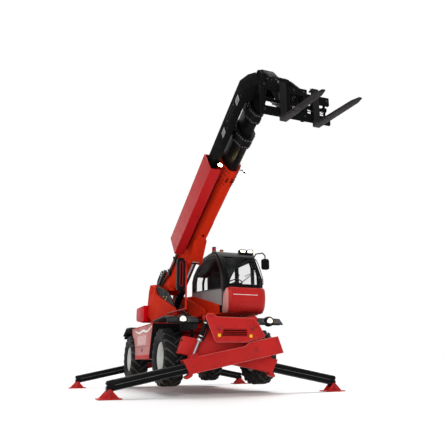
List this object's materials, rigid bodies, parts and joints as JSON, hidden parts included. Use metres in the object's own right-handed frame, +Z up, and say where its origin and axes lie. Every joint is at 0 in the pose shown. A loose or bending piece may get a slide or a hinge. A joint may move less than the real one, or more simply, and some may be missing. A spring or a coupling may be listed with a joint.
{
  "type": "rotating telehandler",
  "caption": "Rotating telescopic handler on its stabilisers, with a slewing cab and boom, telescoping sections and a tilting fork carriage.",
  "frame": {"origin": "on the ground, at the middle of the machine's footprint", "axes": "+X forward along the machine, the way the boom and cab face, +Y to its left, +Z up"},
  "size_m": [10.038, 5.1866, 5.4377],
  "materials": {
    "red_paint": "gloss",
    "bright_red_paint": "gloss",
    "black_paint": "satin",
    "black_plastic": "matte",
    "fork_steel": "satin",
    "engine": "matte",
    "rim_paint": "satin",
    "tyre_rubber": "matte",
    "glass": "clear",
    "chrome": "polished"
  },
  "bodies": {
    "chassis": {"chassis_frame": "red_paint", "stabiliser_frames": "red_paint", "axle_housings": "black_paint", "engine_block": "engine", "side_bodies": "red_paint", "fenders": "black_plastic"},
    "hood_door": {"engine_hood_door": "red_paint"},
    "knuckle_front_right": {"knuckle_front_right": "black_paint"},
    "wheel_front_right": {"tyre_front_right": "tyre_rubber", "rim_front_right": "rim_paint"},
    "knuckle_front_left": {"knuckle_front_left": "black_paint"},
    "wheel_front_left": {"tyre_front_left": "tyre_rubber", "rim_front_left": "rim_paint"},
    "knuckle_rear_left": {"knuckle_rear_left": "black_paint"},
    "wheel_rear_left": {"tyre_rear_left": "tyre_rubber", "rim_rear_left": "rim_paint"},
    "knuckle_rear_right": {"knuckle_rear_right": "black_paint"},
    "wheel_rear_right": {"tyre_rear_right": "tyre_rubber", "rim_rear_right": "rim_paint"},
    "beam_front_right": {"stabiliser_beam_front_right": "red_paint"},
    "leg_front_right": {"stabiliser_leg_front_right": "black_paint"},
    "foot_front_right": {"stabiliser_foot_front_right": "red_paint"},
    "stab_barrel_front_right": {"stabiliser_barrel_front_right": "black_paint"},
    "stab_rod_front_right": {"stabiliser_rod_front_right": "chrome"},
    "beam_front_left": {"stabiliser_beam_front_left": "red_paint"},
    "leg_front_left": {"stabiliser_leg_front_left": "black_paint"},
    "foot_front_left": {"stabiliser_foot_front_left": "red_paint"},
    "stab_barrel_front_left": {"stabiliser_barrel_front_left": "black_paint"},
    "stab_rod_front_left": {"stabiliser_rod_front_left": "chrome"},
    "beam_rear_left": {"stabiliser_beam_rear_left": "red_paint"},
    "leg_rear_left": {"stabiliser_leg_rear_left": "black_paint"},
    "foot_rear_left": {"stabiliser_foot_rear_left": "red_paint"},
    "stab_barrel_rear_left": {"stabiliser_barrel_rear_left": "black_paint"},
    "stab_rod_rear_left": {"stabiliser_rod_rear_left": "chrome"},
    "beam_rear_right": {"stabiliser_beam_rear_right": "red_paint"},
    "leg_rear_right": {"stabiliser_leg_rear_right": "black_paint"},
    "foot_rear_right": {"stabiliser_foot_rear_right": "red_paint"},
    "stab_barrel_rear_right": {"stabiliser_barrel_rear_right": "black_paint"},
    "stab_rod_rear_right": {"stabiliser_rod_rear_right": "chrome"},
    "turret": {"turret_frame": "red_paint", "counterweight": "bright_red_paint", "cab_shell": "black_paint", "cab_nose": "red_paint", "cab_glass": "glass", "cab_interior": "black_plastic", "cab_fittings": "black_paint"},
    "cab_door": {"cab_door": "black_paint", "cab_door_glass": "glass"},
    "boom": {"boom_outer": "red_paint", "boom_side_cover": "red_paint"},
    "boom_section_2": {"boom_section_2": "black_paint", "hose_tray": "black_paint"},
    "boom_section_3": {"boom_section_3": "black_paint"},
    "boom_section_4": {"boom_section_4": "black_paint"},
    "lift_barrel": {"lift_barrel": "black_paint"},
    "lift_rod": {"lift_rod": "chrome"},
    "carriage": {"fork_carriage": "black_paint", "forks": "fork_steel"},
    "tilt_barrel": {"tilt_barrel": "black_paint"},
    "tilt_rod": {"tilt_rod": "chrome"}
  },
  "joints": [
    {"name": "engine_hood_door", "type": "hinge", "parent": "chassis", "child": "hood_door", "pos_m": [-2.245, -1.2, 1.454], "axis": [-1, 0, 0], "range_deg": [0, 75]},
    {"name": "steer_front_right", "type": "hinge", "parent": "chassis", "child": "knuckle_front_right", "pos_m": [-0.682, -0.79, 0.73], "axis": [0, 0, 1], "range_deg": [-28, 28]},
    {"name": "spin_front_right", "type": "hinge", "parent": "knuckle_front_right", "child": "wheel_front_right", "pos_m": [-0.682, -1.02, 0.73], "axis": [0, 1, 0], "continuous": true},
    {"name": "steer_front_left", "type": "hinge", "parent": "chassis", "child": "knuckle_front_left", "pos_m": [-0.682, 0.79, 0.73], "axis": [0, 0, 1], "range_deg": [-28, 28]},
    {"name": "spin_front_left", "type": "hinge", "parent": "knuckle_front_left", "child": "wheel_front_left", "pos_m": [-0.682, 1.02, 0.73], "axis": [0, 1, 0], "continuous": true},
    {"name": "steer_rear_left", "type": "hinge", "parent": "chassis", "child": "knuckle_rear_left", "pos_m": [-3.808, 0.79, 0.73], "axis": [0, 0, 1], "range_deg": [-28, 28]},
    {"name": "spin_rear_left", "type": "hinge", "parent": "knuckle_rear_left", "child": "wheel_rear_left", "pos_m": [-3.808, 1.02, 0.73], "axis": [0, 1, 0], "continuous": true},
    {"name": "steer_rear_right", "type": "hinge", "parent": "chassis", "child": "knuckle_rear_right", "pos_m": [-3.808, -0.79, 0.73], "axis": [0, 0, 1], "range_deg": [-28, 28]},
    {"name": "spin_rear_right", "type": "hinge", "parent": "knuckle_rear_right", "child": "wheel_rear_right", "pos_m": [-3.808, -1.02, 0.73], "axis": [0, 1, 0], "continuous": true},
    {"name": "stabiliser_swing_front_right", "type": "hinge", "parent": "chassis", "child": "beam_front_right", "pos_m": [0.355, 0.46, 0.84], "axis": [-1, 0, 0], "range_deg": [-6, 10.5]},
    {"name": "stabiliser_extend_front_right", "type": "slide", "parent": "beam_front_right", "child": "leg_front_right", "axis": [0, -0.981, -0.1942], "range_m": [-1.29, 0.2]},
    {"name": "stabiliser_foot_front_right", "type": "hinge", "parent": "leg_front_right", "child": "foot_front_right", "pos_m": [0.355, -2.38332, 0.11492], "axis": [1, 0, 0], "range_deg": [-20, 20]},
    {"name": "stabiliser_barrel_front_right", "type": "hinge", "parent": "chassis", "child": "stab_barrel_front_right", "pos_m": [0.355, -0.514, 1.47], "axis": [-1, 0, 0], "range_deg": [-25, 25]},
    {"name": "stabiliser_rod_front_right", "type": "slide", "parent": "stab_barrel_front_right", "child": "stab_rod_front_right", "axis": [0, -0.3925, -0.9198], "range_m": [-0.35, 0.3]},
    {"name": "stabiliser_swing_front_left", "type": "hinge", "parent": "chassis", "child": "beam_front_left", "pos_m": [0.135, -0.46, 0.84], "axis": [1, 0, 0], "range_deg": [-6, 10.5]},
    {"name": "stabiliser_extend_front_left", "type": "slide", "parent": "beam_front_left", "child": "leg_front_left", "axis": [0, 0.981, -0.1942], "range_m": [-1.29, 0.2]},
    {"name": "stabiliser_foot_front_left", "type": "hinge", "parent": "leg_front_left", "child": "foot_front_left", "pos_m": [0.135, 2.38332, 0.11492], "axis": [-1, 0, 0], "range_deg": [-20, 20]},
    {"name": "stabiliser_barrel_front_left", "type": "hinge", "parent": "chassis", "child": "stab_barrel_front_left", "pos_m": [0.135, 0.514, 1.47], "axis": [1, 0, 0], "range_deg": [-25, 25]},
    {"name": "stabiliser_rod_front_left", "type": "slide", "parent": "stab_barrel_front_left", "child": "stab_rod_front_left", "axis": [0, 0.3925, -0.9198], "range_m": [-0.35, 0.3]},
    {"name": "stabiliser_swing_rear_left", "type": "hinge", "parent": "chassis", "child": "beam_rear_left", "pos_m": [-4.845, -0.46, 0.84], "axis": [1, 0, 0], "range_deg": [-6, 10.5]},
    {"name": "stabiliser_extend_rear_left", "type": "slide", "parent": "beam_rear_left", "child": "leg_rear_left", "axis": [0, 0.981, -0.1942], "range_m": [-1.29, 0.2]},
    {"name": "stabiliser_foot_rear_left", "type": "hinge", "parent": "leg_rear_left", "child": "foot_rear_left", "pos_m": [-4.845, 2.38332, 0.11492], "axis": [-1, 0, 0], "range_deg": [-20, 20]},
    {"name": "stabiliser_barrel_rear_left", "type": "hinge", "parent": "chassis", "child": "stab_barrel_rear_left", "pos_m": [-4.845, 0.514, 1.47], "axis": [1, 0, 0], "range_deg": [-25, 25]},
    {"name": "stabiliser_rod_rear_left", "type": "slide", "parent": "stab_barrel_rear_left", "child": "stab_rod_rear_left", "axis": [0, 0.3925, -0.9198], "range_m": [-0.35, 0.3]},
    {"name": "stabiliser_swing_rear_right", "type": "hinge", "parent": "chassis", "child": "beam_rear_right", "pos_m": [-4.625, 0.46, 0.84], "axis": [-1, 0, 0], "range_deg": [-6, 10.5]},
    {"name": "stabiliser_extend_rear_right", "type": "slide", "parent": "beam_rear_right", "child": "leg_rear_right", "axis": [0, -0.981, -0.1942], "range_m": [-1.29, 0.2]},
    {"name": "stabiliser_foot_rear_right", "type": "hinge", "parent": "leg_rear_right", "child": "foot_rear_right", "pos_m": [-4.625, -2.38332, 0.11492], "axis": [1, 0, 0], "range_deg": [-20, 20]},
    {"name": "stabiliser_barrel_rear_right", "type": "hinge", "parent": "chassis", "child": "stab_barrel_rear_right", "pos_m": [-4.625, -0.514, 1.47], "axis": [-1, 0, 0], "range_deg": [-25, 25]},
    {"name": "stabiliser_rod_rear_right", "type": "slide", "parent": "stab_barrel_rear_right", "child": "stab_rod_rear_right", "axis": [0, -0.3925, -0.9198], "range_m": [-0.35, 0.3]},
    {"name": "slew", "type": "hinge", "parent": "chassis", "child": "turret", "pos_m": [-2.245, 0, 1.4], "axis": [0, 0, 1], "continuous": true},
    {"name": "cab_door", "type": "hinge", "parent": "turret", "child": "cab_door", "pos_m": [-1.825, 1.096, 2.3], "axis": [0, 0, 1], "range_deg": [0, 95]},
    {"name": "boom_lift", "type": "hinge", "parent": "turret", "child": "boom", "pos_m": [-3.345, -0.42, 2.5], "axis": [0, -1, 0], "range_deg": [-26.5, 28]},
    {"name": "telescope_2", "type": "slide", "parent": "boom", "child": "boom_section_2", "axis": [0.8949, 0, 0.4462], "range_m": [-0.29, 3]},
    {"name": "telescope_3", "type": "slide", "parent": "boom_section_2", "child": "boom_section_3", "axis": [0.8949, 0, 0.4462], "range_m": [-0.29, 3]},
    {"name": "telescope_4", "type": "slide", "parent": "boom_section_3", "child": "boom_section_4", "axis": [0.8949, 0, 0.4462], "range_m": [-0.29, 3]},
    {"name": "lift_barrel", "type": "hinge", "parent": "turret", "child": "lift_barrel", "pos_m": [-2.795, -0.42, 1.585], "axis": [0, -1, 0], "range_deg": [-40, 45]},
    {"name": "lift_rod", "type": "slide", "parent": "lift_barrel", "child": "lift_rod", "axis": [0.8596, 0, 0.511], "range_m": [-0.6, 1]},
    {"name": "carriage_tilt", "type": "hinge", "parent": "boom_section_4", "child": "carriage", "pos_m": [3.4947, -0.42, 4.8732], "axis": [0, -1, 0], "range_deg": [-35, 25]},
    {"name": "tilt_barrel", "type": "hinge", "parent": "boom_section_4", "child": "tilt_barrel", "pos_m": [3.03948, -0.42, 4.91218], "axis": [0, -1, 0], "range_deg": [-60, 60]},
    {"name": "tilt_rod", "type": "slide", "parent": "tilt_barrel", "child": "tilt_rod", "axis": [0.7339, 0, -0.6792], "range_m": [-0.4, 0.4]}
  ],
  "couplings": [
    {"joint": "steer_front_left", "follows": "steer_front_right", "ratio": 1},
    {"joint": "steer_rear_left", "follows": "steer_rear_right", "ratio": 1},
    {"joint": "stabiliser_barrel_front_right", "follows": "stabiliser_swing_front_right", "ratio": 0.80084},
    {"joint": "stabiliser_rod_front_right", "follows": "stabiliser_swing_front_right", "m_per_rad": -1.1465},
    {"joint": "stabiliser_barrel_front_left", "follows": "stabiliser_swing_front_left", "ratio": 0.80084},
    {"joint": "stabiliser_rod_front_left", "follows": "stabiliser_swing_front_left", "m_per_rad": -1.1465},
    {"joint": "stabiliser_barrel_rear_left", "follows": "stabiliser_swing_rear_left", "ratio": 0.80084},
    {"joint": "stabiliser_rod_rear_left", "follows": "stabiliser_swing_rear_left", "m_per_rad": -1.1465},
    {"joint": "stabiliser_barrel_rear_right", "follows": "stabiliser_swing_rear_right", "ratio": 0.80084},
    {"joint": "stabiliser_rod_rear_right", "follows": "stabiliser_swing_rear_right", "m_per_rad": -1.1465},
    {"joint": "telescope_3", "follows": "telescope_2", "ratio": 1},
    {"joint": "telescope_4", "follows": "telescope_2", "ratio": 1},
    {"joint": "lift_barrel", "follows": "boom_lift", "ratio": 0.993},
    {"joint": "lift_rod", "follows": "boom_lift", "m_per_rad": 1.0269},
    {"joint": "tilt_barrel", "follows": "carriage_tilt", "ratio": 0.64425},
    {"joint": "tilt_rod", "follows": "carriage_tilt", "m_per_rad": 0.29585}
  ]
}
